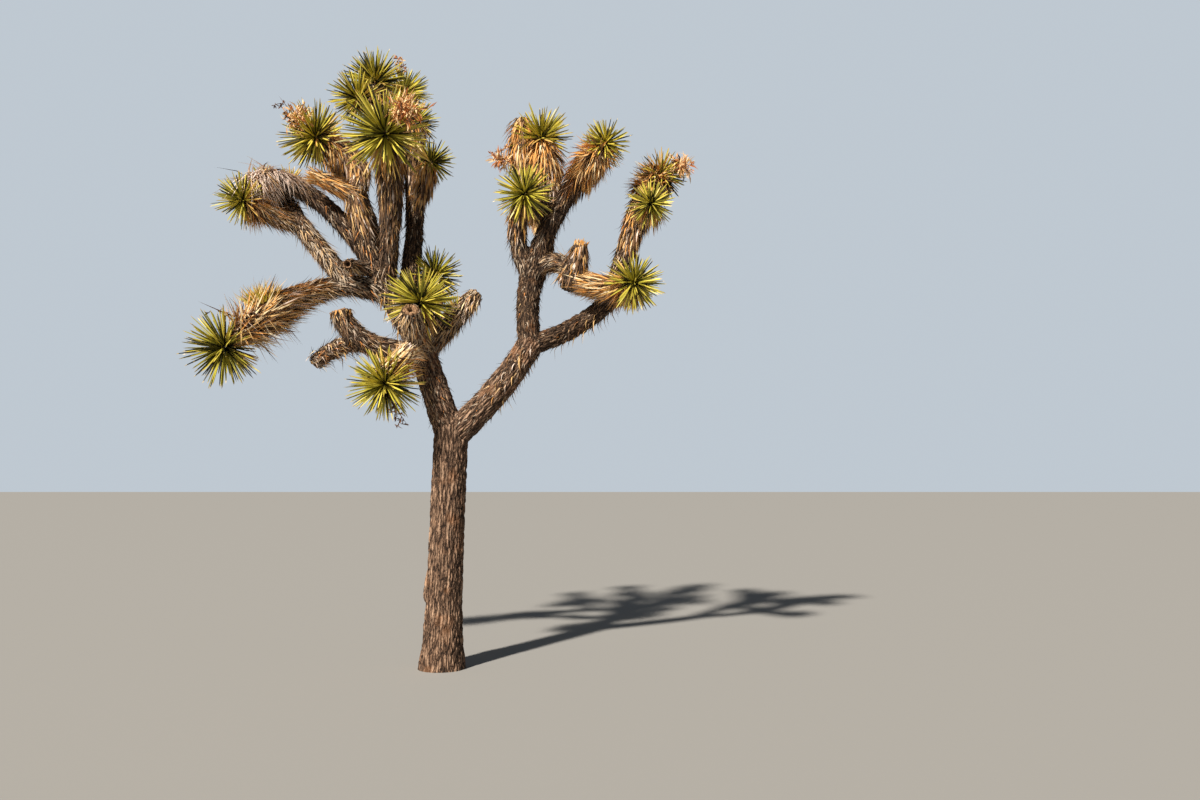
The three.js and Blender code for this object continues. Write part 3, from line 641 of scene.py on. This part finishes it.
bristle_shades = leaf_shades(
    "bristle", 0.9, ("dark", (58, 42, 31)), ("brown", (128, 100, 76)), ("grey", (182, 164, 144)),
    ("tan", (218, 182, 136)), ("rust", (196, 130, 72)))
BRISTLE_MIX = {  # shares of those shades
    "old wood": (0.46, 0.32, 0.18, 0.03, 0.01), "young wood": (0.32, 0.32, 0.22, 0.1, 0.04),
    "pale_limb": (0.12, 0.2, 0.42, 0.24, 0.02), "mid_limb": (0.38, 0.28, 0.14, 0.12, 0.08),
    "lower_stub": (0.3, 0.32, 0.2, 0.12, 0.06), "left_stub": (0.38, 0.34, 0.18, 0.07, 0.03),
    # right_stub's mix is pale partly as painted light, to make up for the shadow that the heads cast on
    # it.
    "right_stub": (0.06, 0.18, 0.4, 0.32, 0.04), "left_bough": (0.26, 0.3, 0.28, 0.09, 0.07),
    "front_stub": (0.12, 0.24, 0.34, 0.26, 0.04), "perch_stub": (0.4, 0.3, 0.2, 0.08, 0.02),
    "perch_limb": (0.2, 0.26, 0.34, 0.16, 0.04), "drooping_arm": (0.1, 0.2, 0.2, 0.44, 0.06),
    "front_limb": (0.5, 0.32, 0.13, 0.03, 0.02), "orange_stub": (0.12, 0.18, 0.06, 0.3, 0.34),
    # The mixes rich in dark bristles for inner_bough, right_bough, outer_bough, left_prong and
    # right_prong are painted shade, for the shade those limbs lie in.
    "back_limb": (0.6, 0.28, 0.1, 0.01, 0.01), "inner_bough": (0.64, 0.27, 0.07, 0.01, 0.01),
    "right_bough": (0.54, 0.31, 0.12, 0.02, 0.01), "outer_bough": (0.6, 0.28, 0.1, 0.01, 0.01),
    "left_prong": (0.44, 0.31, 0.17, 0.06, 0.02), "outer_limb": (0.42, 0.32, 0.18, 0.06, 0.02),
    "far_left_limb": (0.28, 0.32, 0.32, 0.07, 0.01), "right_prong": (0.6, 0.28, 0.09, 0.02, 0.01),
    "dark_limb": (0.5, 0.32, 0.13, 0.03, 0.02),
}
# How many bristles stand on a square metre, their lengths, and how far they hang.
BRISTLES = {"old wood": (1500, (0.03, 0.06), -0.1), "young wood": (2300, (0.045, 0.1), -0.35)}
BRISTLE_LEAN, BRISTLE_SCATTER = (6, 28), 0.25
BRISTLE_WIDTHS, BRISTLE_THICKNESS, BRISTLE_BEND = (0.007, 0.014), 0.3, (-0.15, 0.15)
STRAYS, STRAY_LEAN, STRAY_LENGTH = 0.15, 26, 0.5  # share of those that stand off, and how much
OLD_BOUGHS = (*BOUGHS, "west_bough", "inner_bough", "outer_bough")
bristles = no_blades()
for name in LIMBS:
    if name == "trunk":
        continue
    kind = "old wood" if name in OLD_BOUGHS else "young wood"
    density, lengths, hang = BRISTLES[kind]
    count = int(2 * math.pi * float(limb_radius(name, 0.5)) * limb_length(name) * density)
    root, out, way, _ = on_limb(name, count, 0.12 if name in BOUGHS else 0.04, 0.99, UNDER_LEAVES)
    stray = chance.random(count) < STRAYS
    lean = np.radians(chance.uniform(*BRISTLE_LEAN, count) + STRAY_LEAN * stray)
    aside = chance.normal(0, BRISTLE_SCATTER, count)[:, None] * unit(np.cross(way, out))
    way = unit(-way * np.cos(lean)[:, None] + out * np.sin(lean)[:, None] + aside + (0, 0, hang))
    add_blades(
        bristles, root=root, way=way, side=facing(way, out),
        length=chance.uniform(*lengths, count) * (1 + STRAY_LENGTH * stray),
        width=chance.uniform(*BRISTLE_WIDTHS, count), bend=chance.normal(*BRISTLE_BEND, count),
        shade=chance.choice(5, count, p=BRISTLE_MIX.get(name, BRISTLE_MIX[kind])))


CROWN_SPLIT = 0.1  # the crown's pieces are parted here, to the right of the trunk's foot


def lay_on(piece, gathered, thickness, stations, shades):
    """A left and a right piece of the gathered blades."""
    gathered = {label: np.concatenate(values) for label, values in gathered.items()}
    left = gathered["root"][:, 0] < CROWN_SPLIT
    for half, chosen in (("left", left), ("right", ~left)):
        some = {label: [values[chosen]] for label, values in gathered.items()}
        made = blades(f"{half}_{piece}", some, thickness, stations, shades)
        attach(made, "root")


lay_on("leaf_base_bristles", bristles, BRISTLE_THICKNESS, [(0, 1.0)], bristle_shades)


# Dead skirts: whole dry leaves, still tough, that fold back along the limb below each head,
# from straw and orange when new to silver-grey when old.
skirt_shades = leaf_shades(
    "dry_leaf", 0.75, ("brown", (140, 104, 70)), ("orange", (222, 160, 84)), ("tan", (218, 178, 120)),
    ("straw", (244, 222, 178)), ("grey", (228, 208, 194)), ("dark", (66, 47, 32)))
# The dark leaves in these mixes are partly painted shade: in the orange mix they stand for the shaded
# gaps between leaves, and the dark and russet mixes are darker for the shade on right_prong's and
# mid_limb's skirts.
SKIRT_MIX = {  # shares of those shades
    "young": (0.2, 0.32, 0.26, 0.08, 0.02, 0.12), "old": (0.34, 0.1, 0.2, 0.03, 0.13, 0.2),
    "orange": (0.15, 0.36, 0.25, 0.08, 0.0, 0.16), "straw": (0.1, 0.2, 0.26, 0.34, 0.02, 0.08),
    "dark": (0.32, 0.02, 0.06, 0.0, 0.04, 0.56), "worn": (0.2, 0.06, 0.3, 0.08, 0.16, 0.2),
    "silver": (0.08, 0.0, 0.06, 0.03, 0.76, 0.07), "cream": (0.14, 0.04, 0.18, 0.5, 0.04, 0.1),
    "tan": (0.12, 0.24, 0.34, 0.18, 0.02, 0.1), "golden": (0.1, 0.3, 0.3, 0.22, 0.0, 0.08),
    "russet": (0.34, 0.12, 0.22, 0.02, 0.06, 0.24), "fibre": (0.08, 0.36, 0.3, 0.18, 0.0, 0.08),
    "dusky": (0.42, 0.05, 0.08, 0.0, 0.06, 0.39), "bleached": (0.16, 0.06, 0.34, 0.14, 0.24, 0.06),
    "raw": (0.1, 0.66, 0.24, 0.0, 0.0, 0.0),
}
SKIRT_THICKNESS, SKIRT_BEND = 0.22, (-0.08, 0.1)
LEAN_START, LEAN_GAIN = 0.55, 0.6  # share of its lean at a stretch's start, and what it gains
HANG, HANG_GAIN = 0.3, -0.15  # the most that a drooping leaf may point up, less for more droop
HANG_BEND = (0.5, 1.2)
FAN_WIDTH = 0.13  # how far leaves that aim at one place stay apart there
dry_leaves = no_blades()


def add_skirt(name, count, stretch, lengths, leans, mix, droop=0.0, bare=0.3, ahead=False,
              lowest=-1.0, scatter=0.16, widths=(0.009, 0.017), aim=None):
    """Dead leaves on a stretch of a limb that lean back along it, or ahead, or all point to one
    place. Droop is how far their tips fall for their length, and lowest is how far round the
    underside they are rooted."""
    first, last = stretch
    root, out, way, share = on_limb(name, count, first, last, bare)
    kept = out[:, 2] > lowest
    root, out, way, share = root[kept], out[kept], way[kept], share[kept]
    count = len(root)
    if ahead:
        way = -way
    growth = LEAN_START + LEAN_GAIN * (share - first) / (last - first)
    lean = np.radians(chance.uniform(*leans, count)) * growth
    turn = unit(np.cross(way, out))
    blade_way = -way * np.cos(lean)[:, None] + out * np.sin(lean)[:, None]
    if aim:
        blade_way = unit(np.array(aim) + FAN_WIDTH * out - root)
    bend = chance.normal(*SKIRT_BEND, count)
    if droop:
        blade_way[:, 2] = np.minimum(blade_way[:, 2], HANG + HANG_GAIN * droop)
        bend = -droop * chance.uniform(*HANG_BEND, count)
    blade_way = unit(blade_way + chance.normal(0, scatter, count)[:, None] * turn)
    side = unit(np.cross(blade_way, (0.03, 0.02, 1.0))) if droop else facing(blade_way, out)
    add_blades(
        dry_leaves, root=root, way=blade_way, side=side, length=chance.uniform(*lengths, count),
        width=chance.uniform(*widths, count), bend=bend,
        shade=chance.choice(6, count, p=SKIRT_MIX[mix]))


# Every skirted limb has old leaves all along and new ones under its head, fewer on a slim limb.
SKIRT_DENSITY, HEAD_LEAVES, HEAD_LEAF_LENGTHS = 900, 170, (0.12, 0.22)
SLIM_DENSITY, SLIM_HEAD_LEAVES, SLIM_LEAF_LENGTHS = 300, 70, (0.08, 0.14)
# Limbs whose skirt takes another mix than old; right_prong's dark mix is painted shade for the shade that
# its skirt lies in.
AGED_AND_SHADED = {"front_limb": "dark", "back_limb": "dark", "right_prong": "dark", "far_left_limb": "worn"}
for name in YOUNG_WOOD:
    if LIMBS[name].skirt is None or name == "dark_limb":
        continue
    first, _ = LIMBS[name].skirt
    area = 2 * math.pi * float(limb_radius(name, 0.8)) * limb_length(name) * (1 - first)
    density, count, lengths = SKIRT_DENSITY, HEAD_LEAVES, HEAD_LEAF_LENGTHS
    if name == "left_prong":
        density, count, lengths = SLIM_DENSITY, SLIM_HEAD_LEAVES, SLIM_LEAF_LENGTHS
    if name != "drooping_arm":
        add_skirt(name, int(density * area), (first, 0.82), (0.09, 0.17), (8, 28),
                  AGED_AND_SHADED.get(name, "old"), droop=0.25)
    add_skirt(name, count, (0.78, 1.0), lengths, (15, 60), "young", droop=0.4)

# What single limbs carry besides: tangles, fans, a silver thatch, raw fibres and hanging shag.
add_skirt("far_left_limb", 260, (0.62, 0.94), (0.12, 0.24), (10, 40), "worn", droop=0.3)
add_skirt("far_left_limb", 90, (0.76, 0.94), (0.14, 0.22), (30, 60), "worn", droop=1.0)
add_skirt("far_left_limb", 300, (0.74, 0.95), (0.14, 0.3), (30, 85), "straw")
add_skirt("crest_limb", 460, (0.66, 1.0), (0.15, 0.26), (25, 75), "orange", droop=0.6)
add_skirt("right_prong", 420, (0.8, 1.0), (0.11, 0.19), (15, 60), "tan", droop=0.25)
add_skirt("right_prong", 140, (0.9, 1.0), (0.13, 0.2), (70, 120), "orange")
add_skirt("dry_limb", 520, (0.5, 1.0), (0.12, 0.22), (15, 70), "orange", droop=0.5)
add_skirt("outer_limb", 300, (0.62, 0.9), (0.1, 0.18), (10, 40), "orange")
add_skirt("outer_limb", 520, (0.84, 1.0), (0.12, 0.2), (50, 125), "orange")
add_skirt("drooping_arm", 330, (0.04, 0.66), (0.24, 0.4), (0, 0), "cream", bare=0.0, lowest=-0.4,
          scatter=0.09, widths=(0.012, 0.024), aim=(-0.48, -0.5, 2.46))
add_skirt("perch_arm", 420, (0.15, 0.95), (0.12, 0.24), (6, 28), "golden", scatter=0.1,
          widths=(0.007, 0.014))
add_skirt("mid_limb", 260, (0.5, 1.0), (0.1, 0.2), (6, 24), "russet")
add_skirt("orange_stub", 260, (0.2, 1.0), (0.1, 0.22), (6, 24), "orange", widths=(0.007, 0.014))
add_skirt("orange_stub", 150, (0.6, 1.0), (0.06, 0.13), (4, 34), "fibre", ahead=True)
add_skirt("perch_stub", 560, (0.05, 1.0), (0.08, 0.16), (8, 30), "dusky")
add_skirt("dark_limb", 1300, (0.6, 0.88), (0.12, 0.22), (40, 88), "silver", droop=1.1, lowest=0.2)
add_skirt("dark_limb", 620, (0.84, 1.0), (0.14, 0.28), (40, 88), "silver", droop=1.1, lowest=-0.5)
add_skirt("right_bough", 90, (0.4, 1.0), (0.05, 0.12), (10, 40), "old", droop=0.8)
add_skirt("outer_bough", 90, (0.2, 1.0), (0.06, 0.13), (10, 40), "old", droop=0.8)
add_skirt("west_bough", 120, (0.25, 0.95), (0.06, 0.13), (20, 60), "old", droop=0.9)
add_skirt("lower_stub", 80, (0.3, 1.0), (0.05, 0.12), (20, 60), "worn", droop=0.9)
add_skirt("left_stub", 50, (0.2, 1.0), (0.05, 0.1), (20, 60), "old", droop=0.9)
add_skirt("left_stub", 46, (0.93, 1.0), (0.025, 0.05), (10, 60), "orange")
add_skirt("right_stub", 170, (0.15, 0.95), (0.06, 0.13), (10, 35), "bleached", droop=0.4)
add_skirt("perch_stub", 60, (0.88, 1.0), (0.025, 0.055), (0, 30), "raw", ahead=True)
lay_on("dead_leaf_skirts", dry_leaves, SKIRT_THICKNESS, [(0, 0.7), (0.45, 1.0)], skirt_shades)


# Heads: rosettes of stiff dagger leaves, channelled above and keeled below, that stand out
# all round the tip of each living limb, yellow-green with straw-coloured points.
# A head is (limb, the way it faces, how far its leaves reach from its middle).
HEADS = {
    "far_left_head": ("far_left_limb", (-0.72, -0.35, -0.55), 0.39),
    "left_head": ("left_arm", (-0.85, -0.4, 0.2), 0.27),
    "left_back_head": ("up_arm", (-0.5, 0.5, 0.6), 0.22),
    "upper_left_head": ("mid_arm", (-0.75, -0.6, 0.1), 0.37),
    "rear_upper_head": ("rear_upper_limb", (-0.4, 0.75, 0.5), 0.28),
    "front_head": ("front_limb", (0, -0.8, 0.55), 0.45),
    "side_head": ("side_arm", (0.85, -0.1, 0.1), 0.25),
    "back_right_head": ("back_arm", (0.8, 0.1, 0.45), 0.26),
    "back_top_head": ("back_limb", (0.3, 0.35, 0.85), 0.3),
    "top_head": ("top_limb", (-0.05, 0.1, 0.95), 0.335),
    "top_left_head": ("top_arm", (-0.8, -0.1, 0.55), 0.3),
    "inner_front_head": ("inner_limb", (0, -0.75, 0.6), 0.375),
    "inner_back_head": ("inner_arm", (0.3, -0.1, 0.9), 0.3),
    "drooping_head": ("drooping_arm", (-0.45, -0.6, -0.6), 0.365),
    "rear_left_head": ("rear_left_limb", (-0.2, 0.8, 0.5), 0.28),
    "prong_head": ("left_prong", (0.2, -0.85, 0.4), 0.315),
    "right_prong_head": ("right_prong", (0.55, -0.5, 0.65), 0.255),
    "crest_head": ("crest_limb", (0, 0, 1), 0.33),
    "perch_head": ("perch_arm", (0.5, -0.85, 0.1), 0.295),
    "outer_head": ("outer_limb", (0.55, -0.35, -0.75), 0.275),
    "outer_front_head": ("outer_arm", (0.15, -0.95, 0.15), 0.245),
    "rear_outer_head": ("rear_outer_limb", (0.1, 0.9, 0.35), 0.265),
    "rear_right_head": ("rear_right_limb", (-0.1, 0.8, 0.55), 0.27),
}
HEAD_RISE = 0.06  # a head's middle stands this far past its limb's tip
SPACE_MARGIN = 0.018  # between the spaces of two heads
FAR = 10.0  # stands for no limit
LOOK_PAST, OWN_LIMB = 0.3, 0.1  # limbs farther past a head's reach, or nearer, don't stop leaves
ROOM_STEPS = np.linspace(0.05, 1, 14)
limb_places = np.concatenate([limb_point(name, ROOM_STEPS) for name in LIMBS])
limb_sizes = np.concatenate([limb_radius(name, ROOM_STEPS) for name in LIMBS])


def head_middle(name):
    limb, face, _ = HEADS[name]
    return limb_point(limb, 1.0) + HEAD_RISE * unit(np.array(face, float))


def spiral_ways(face, count, widest):
    """Directions spread evenly from the way a head faces to this many degrees off it, and their
    angles from it."""
    share = (np.arange(count) + 0.5) / count
    polar = np.arccos(1 - share * (1 - math.cos(math.radians(widest))))
    first = unit(np.cross((0.3, 0.5, 0.8), face))
    second = np.cross(face, first)
    turn = np.arange(count) * GOLDEN_ANGLE
    side = first * np.cos(turn)[:, None] + second * np.sin(turn)[:, None]
    return unit(face * np.cos(polar)[:, None] + side * np.sin(polar)[:, None]), polar


def room(name, ways):
    """How far a leaf can run before it leaves its head's space or meets a limb."""
    own, reach = head_middle(name), HEADS[name][2]
    free = np.full(len(ways), FAR)
    for other, (_, _, other_reach) in HEADS.items():
        if other == name:
            continue
        across = head_middle(other) - own
        distance = np.linalg.norm(across)
        border = reach / (reach + other_reach) * distance - SPACE_MARGIN
        speed = ways @ (across / distance)
        free = np.where(speed > 0, np.minimum(free, border / np.maximum(speed, 1e-6)), free)
    near = np.linalg.norm(limb_places - own, axis=1) < reach + LOOK_PAST
    off = limb_places[near] - own
    sizes = limb_sizes[near]
    along = ways @ off.T
    clear = np.linalg.norm(off, axis=1) > sizes + OWN_LIMB
    miss = np.sqrt(np.maximum((off ** 2).sum(1)[None] - along ** 2, 0))
    hit = (along > 0) & (miss < sizes[None]) & clear[None]
    return np.minimum(free, np.where(hit, along - sizes[None], FAR).min(1))


# Painted shade in part: the olive and the near-black deep leaf shades are dealt among the yellow-green
# leaves to stand for the shade inside a head.
leaf_colours = leaf_shades(
    "leaf", 0.42, ("yellow_green", (222, 204, 84)), ("green", (184, 174, 62)), ("olive", (128, 124, 44)),
    ("deep", (36, 37, 12)), ("straw", (216, 178, 98)), ("point", (200, 170, 92)))
YELLOW_GREEN, GREEN, OLIVE, PAINTED_SHADE, STRAW, POINT = range(6)
LEAVES_PER_METRE = 720  # of a head's reach
LEAF_SPREAD = 124  # degrees from the way a head faces to its lowest leaves
LEAF_REACHES = (0.76, 1.02)  # of the head's own
# The short inner leaves all get the near-black deep shade, painted shade for the head's shaded middle.
INNER_SHARE, INNER_LENGTH = 0.25, 0.55  # short young leaves deep in a head, in its own shade
SHORTEST = 0.5  # a leaf with less room than this share of its length is left out
POLE_GAP, POLE_SHORT = 0.3, 0.25  # the leaves this near the pole are this much shorter
WAY_JITTER, LEAF_TWIST, LEAF_BEND = 0.05, 0.7, 0.025
ROOT_SPREAD = 0.015  # metres that a leaf is rooted farther back for each radian off the pole
LEAF_WIDTH, WIDTH_GAIN, WIDTHS = 0.009, 0.02, (0.8, 1.2)  # metres, per metre of leaf, and spread
LEAF_THICKNESS, LEAF_STATIONS = 0.6, [(0.1, 0.75), (0.35, 1.0), (0.72, 0.8), (0.93, 0.42)]
SHADE_STEPS = (0.12, 0.3, 0.62)  # a draw below them makes a leaf deep, olive or green
DYING, DEAD_SHARE, DEAD_BEND = (1.7, 2.2), 0.7, 0.1  # radians off the pole where leaves turn dry
# Both shifts lower the draw towards the darker shades. Near the pole this is partly painted shade for a
# head's shaded middle and partly its greener young leaves. The other shift darkens the greener heads.
SHADED_POLE, POLE_SHADE, GREENER = 0.5, 0.25, 0.15  # shifts of the draw near the pole or by head
GREEN_HEADS = ("far_left_head", "top_head", "top_left_head", "back_right_head", "side_head",
               "inner_back_head", "outer_head")


def grow_heads(piece, names):
    grown = no_blades()
    for name in names:
        _, face, reach = HEADS[name]
        face = unit(np.array(face, float))
        ways, polar = spiral_ways(face, int(LEAVES_PER_METRE * reach), LEAF_SPREAD)
        ways = unit(ways + chance.normal(0, WAY_JITTER, ways.shape))
        wanted = reach * chance.uniform(*LEAF_REACHES, len(ways)) * (1 - POLE_SHORT * (polar < POLE_GAP))
        inner = chance.random(len(ways)) < INNER_SHARE
        wanted = np.where(inner, INNER_LENGTH * wanted, wanted)
        length = np.minimum(wanted, room(name, ways))
        kept = length > SHORTEST * wanted
        ways, polar, length, inner = ways[kept], polar[kept], length[kept], inner[kept]
        count = len(ways)
        root = np.tile(head_middle(name), (count, 1)) - ROOT_SPREAD * face * polar[:, None]
        old = smooth_step(polar, *DYING)
        draw = chance.random(count) - POLE_SHADE * (polar < SHADED_POLE) - GREENER * (name in GREEN_HEADS)
        shade = np.select([draw < step for step in SHADE_STEPS], [PAINTED_SHADE, OLIVE, GREEN], YELLOW_GREEN)
        shade[chance.random(count) < DEAD_SHARE * old] = STRAW
        shade[inner] = PAINTED_SHADE
        add_blades(
            grown, root=root, way=ways,
            side=facing(ways, face + chance.normal(0, LEAF_TWIST, (count, 3))), length=length,
            width=(LEAF_WIDTH + WIDTH_GAIN * length) * chance.uniform(*WIDTHS, count),
            bend=chance.normal(0.0, LEAF_BEND, count) - DEAD_BEND * old, shade=shade)
    leaves = blades(piece, grown, LEAF_THICKNESS, LEAF_STATIONS, leaf_colours, tip_shade=POINT)
    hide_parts(*names)
    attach(leaves, "root")


left_heads = [name for name in HEADS if head_middle(name)[0] < CROWN_SPLIT]
grow_heads("left_crown_leaves", left_heads)
grow_heads("right_crown_leaves", [name for name in HEADS if name not in left_heads])


# Tufts: short sprouts of young dagger leaves, part of them dried to straw, that broke out of the
# side of a limb and are rooted under its bark.
# A tuft is (limb, share of its length, the way it faces, how far it reaches, its leaves).
TUFTS = [
    ("far_left_limb", 0.8, (-0.15, -0.1, 1), 0.34, 130), ("dark_limb", 0.66, (0.1, 0.1, 1), 0.21, 26),
    ("right_stub", 0.6, (-0.2, 0.4, 1), 0.23, 40),
]
TUFT_SPREAD, TUFT_REACHES, TUFT_TWIST = 52, (0.7, 1.0), 0.2
TUFT_LEAF_WIDTH, TUFT_THICKNESS = 0.02, 0.4
TUFT_SHADES = (YELLOW_GREEN, YELLOW_GREEN, GREEN, OLIVE, STRAW, STRAW, STRAW)
sprouts = no_blades()
for limb, at, face, reach, count in TUFTS:
    face = unit(np.array(face, float))
    ways, _ = spiral_ways(face, count, TUFT_SPREAD)
    add_blades(
        sprouts, root=np.tile(limb_point(limb, at), (count, 1)), way=ways,
        side=facing(ways, face + chance.normal(0, TUFT_TWIST, (count, 3))),
        length=reach * chance.uniform(*TUFT_REACHES, count), width=np.full(count, TUFT_LEAF_WIDTH),
        bend=np.zeros(count), shade=chance.choice(TUFT_SHADES, count))
tufts = blades("side_tufts", sprouts, TUFT_THICKNESS, [(0.2, 0.7), (0.5, 1.0), (0.8, 0.5)],
               leaf_colours, tip_shade=POINT)
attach(tufts, "root")


# Flower stalks of past springs: dry woody stalks whose short side branches still carry
# clusters of withered flowers and seed pods. They grew out of the heads, or of limbs that died.
stalk_shades = leaf_shades("stalk", 0.85, ("tan", (168, 124, 84)), ("brown", (78, 54, 38)))
STALK_TAN, STALK_BROWN = range(2)
pod_shades = leaf_shades(
    "withered_flower", 0.85, ("rust", (182, 108, 54)), ("tan", (222, 168, 108)), ("brown", (100, 64, 38)),
    ("straw", (242, 206, 156)))
POD_BROWN = 2
# A stalk is (tip, side branches, shade), by the head or limb that it grows from.
STALKS = {
    "far_left_limb": ((-2.16, -0.36, 3.18), 3, STALK_BROWN),
    "upper_left_head": ((-1.69, 0.05, 5.26), 8, STALK_BROWN),
    "front_head": ((-0.265, -0.8, 4.905), 6, STALK_TAN),
    "back_top_head": ((-0.615, 0.5, 5.91), 13, STALK_TAN),
    "drooping_head": ((-0.27, -0.55, 2.09), 12, STALK_BROWN),
    "outer_head": ((2.3, 0.1, 4.7), 6, STALK_TAN),
    "dry_limb": ((0.35, 0.05, 4.65), 4, STALK_TAN),
}
# A tangle of withered flowers is (middle, size, flowers, shares of the four shades).
TANGLES = [
    ((-0.25, -0.82, 4.79), (0.11, 0.08, 0.085), 300, (0.34, 0.32, 0.12, 0.22)),
    ((-1.4, -0.1, 5.0), (0.085, 0.06, 0.095), 200, (0.14, 0.3, 0.16, 0.4)),
    ((2.16, 0.05, 4.6), (0.085, 0.06, 0.07), 180, (0.14, 0.34, 0.12, 0.4)),
    ((0.48, 0.07, 4.66), (0.09, 0.05, 0.05), 110, (0.24, 0.34, 0.12, 0.3)),
]
STALK_START = 0.86  # share of its length where a limb carries its stalk
STALK_SIDE = (0.21, 0.37, 0.9)  # sets which way their flat sides face
STALK_WIDTH, STALK_BEND, STALK_THICKNESS = 0.02, 0.12, 0.5
BRANCH_FROM, BRANCH_SPAN = 0.4, 0.52  # the share of a stalk that carries branches
BRANCH_LENGTH, BRANCH_SHRINK, BRANCH_LENGTHS = 0.09, 0.04, (0.7, 1.1)
BRANCH_RISE, BRANCH_WIDTH, PAST_TIP = 0.6, 0.008, 0.03
BRANCH_PODS, POD_PLACES = 5, (0.3, 0.95)  # how many pods, and where along their branch
stalks, pods = no_blades(), no_blades()


def add_stalk(root, way, length, width, bend, shade):
    add_blades(stalks, root=root[None], way=way[None], length=np.array([length]),
               side=unit(np.cross(way, STALK_SIDE))[None], width=np.array([width]),
               bend=np.array([bend]), shade=np.array([shade]))


def add_pods(root, way, lengths, widths, curl, shade=None, likely=None):
    """Withered flowers of one shade, or of all four in their shares."""
    count = len(root)
    add_blades(pods, root=root, way=way, side=unit(np.cross(way, STALK_SIDE)),
               length=chance.uniform(*lengths, count), width=chance.uniform(*widths, count),
               bend=chance.normal(0, curl, count),
               shade=chance.choice(4, count, p=likely) if shade is None else np.full(count, shade))


for name, (tip, branches, shade) in STALKS.items():
    start = head_middle(name) if name in HEADS else limb_point(name, STALK_START)
    length = float(np.linalg.norm(np.array(tip) - start))
    along = (np.array(tip) - start) / length
    add_stalk(start, along, length, STALK_WIDTH, STALK_BEND, shade)
    first = unit(np.cross((0.1, 0.2, 1.0), along))
    second = np.cross(along, first)
    for i in range(branches):
        share = BRANCH_FROM + BRANCH_SPAN * i / branches
        turn = i * GOLDEN_ANGLE
        out = unit(first * math.cos(turn) + second * math.sin(turn) + BRANCH_RISE * along)
        root = start + along * share * length
        reach = (BRANCH_LENGTH - BRANCH_SHRINK * i / branches) * chance.uniform(*BRANCH_LENGTHS)
        reach = min(reach, (1 - share) * length + PAST_TIP)
        add_stalk(root, out, reach, BRANCH_WIDTH, 0, shade)
        places = root + out * (reach * chance.uniform(*POD_PLACES, BRANCH_PODS))[:, None]
        ways = unit(out + chance.normal(0, 0.9, (BRANCH_PODS, 3)))
        add_pods(places, ways, lengths=(0.02, 0.04), widths=(0.01, 0.018), curl=0.4,
                 shade=POD_BROWN if shade == STALK_BROWN else None)
for middle, size, count, likely in TANGLES:
    spot = chance.normal(0, 0.5, (count, 3))
    add_pods(np.array(middle) + spot * size, unit(spot + chance.normal(0, 0.8, (count, 3))),
             lengths=(0.04, 0.09), widths=(0.008, 0.018), curl=0.7, likely=likely)
for piece, gathered, shades, stations in (
    ("flower_stalks", stalks, stalk_shades, [(0, 1.0), (0.5, 0.8)]),
    ("withered_flowers", pods, pod_shades, [(0, 0.4), (0.55, 1.0)]),
):
    made = blades(piece, gathered, STALK_THICKNESS, stations, shades)
    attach(made, "root")


# The setting: a pale floor, and a pale sky that gives the tree less light than the camera sees.
# The sun stands low at the front left. The camera is at eye height and has a wide lens.
FLOOR_SIZE, FLOOR_GREY, FLOOR_ROUGHNESS = 600, (0.36, 0.352, 0.34, 1), 0.9
SKY_LIGHT, SKY_STRENGTH, SKY_SEEN = (0.78, 0.88, 1.0, 1), 0.12, (0.52, 0.58, 0.64, 1)
SUN_COLOUR, SUN_STRENGTH, SUN_SIZE = (1.0, 0.93, 0.82), 6.2, 3
SUN_HEIGHT, SUN_TURN = 37, -29  # degrees
CAMERA_PLACE, CAMERA_LIFT = (1.403, -8.468, 1.6), 5.33
LENS, SENSOR = 28, 36  # millimetres
bpy.ops.object.select_all(action="DESELECT")
bpy.ops.mesh.primitive_plane_add(size=FLOOR_SIZE, location=(0, 0, 0))
floor = bpy.context.object
floor.name = "floor"
floor.data.materials.append(plain_paint("pale_floor", FLOOR_GREY, FLOOR_ROUGHNESS))

bpy.context.scene.view_settings.view_transform = "Standard"
world = bpy.data.worlds.new("pale_sky")
bpy.context.scene.world = world
world.use_nodes = True
sky, links = world.node_tree.nodes, world.node_tree.links
sky["Background"].inputs["Color"].default_value = SKY_LIGHT
sky["Background"].inputs["Strength"].default_value = SKY_STRENGTH
backdrop = add_node(sky, "Background", {"Color": SKY_SEEN, "Strength": 1.0})
seen, blend = add_node(sky, "LightPath"), add_node(sky, "MixShader")
links.new(seen.outputs["Is Camera Ray"], blend.inputs["Fac"])
links.new(sky["Background"].outputs[0], blend.inputs[1])
links.new(backdrop.outputs[0], blend.inputs[2])
links.new(blend.outputs[0], sky["World Output"].inputs["Surface"])
sun = bpy.data.lights.new("sun", "SUN")
sun.energy = SUN_STRENGTH
sun.angle = math.radians(SUN_SIZE)
sun.color = SUN_COLOUR
sun_holder = bpy.data.objects.new("sun", sun)
sun_holder.rotation_euler = (math.radians(90 - SUN_HEIGHT), 0, math.radians(SUN_TURN))
bpy.context.collection.objects.link(sun_holder)

lens = bpy.data.cameras.new("camera")
lens.lens = LENS
lens.sensor_width = SENSOR
camera = bpy.data.objects.new("camera", lens)
camera.location = CAMERA_PLACE
camera.rotation_euler = (math.radians(90 + CAMERA_LIFT), 0, 0)
bpy.context.collection.objects.link(camera)
bpy.context.scene.camera = camera
